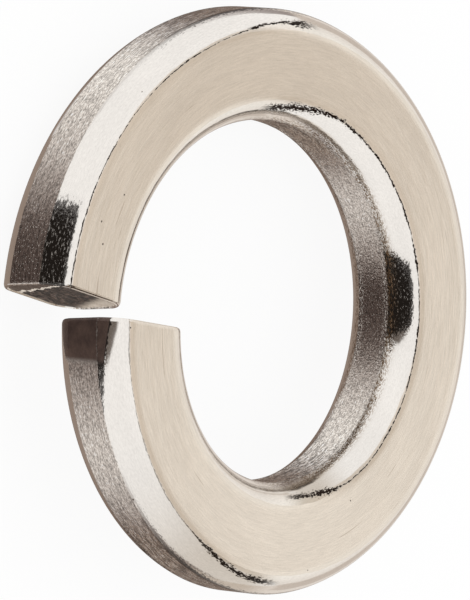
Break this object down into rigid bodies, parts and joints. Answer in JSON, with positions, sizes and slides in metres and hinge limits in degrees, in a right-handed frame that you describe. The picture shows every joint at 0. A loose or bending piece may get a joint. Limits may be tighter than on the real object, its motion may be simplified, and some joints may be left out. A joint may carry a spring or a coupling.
{
  "type": "spring lock washer",
  "caption": "Split ring of flat-rolled spring wire with rounded edges, coiled left-handed so that its cut ends stand apart along the bore.",
  "frame": {"origin": "on the bore's axis, level with the lowest edge of the low end", "axes": "+Z along the bore towards the high end, -Y through the slit, +X on the high end's side of the slit"},
  "size_m": [0.0314, 0.0314, 0.0092],
  "materials": {
    "spring_steel": "satin"
  },
  "bodies": {
    "root": {"lock_washer": "spring_steel"}
  },
  "joints": []
}
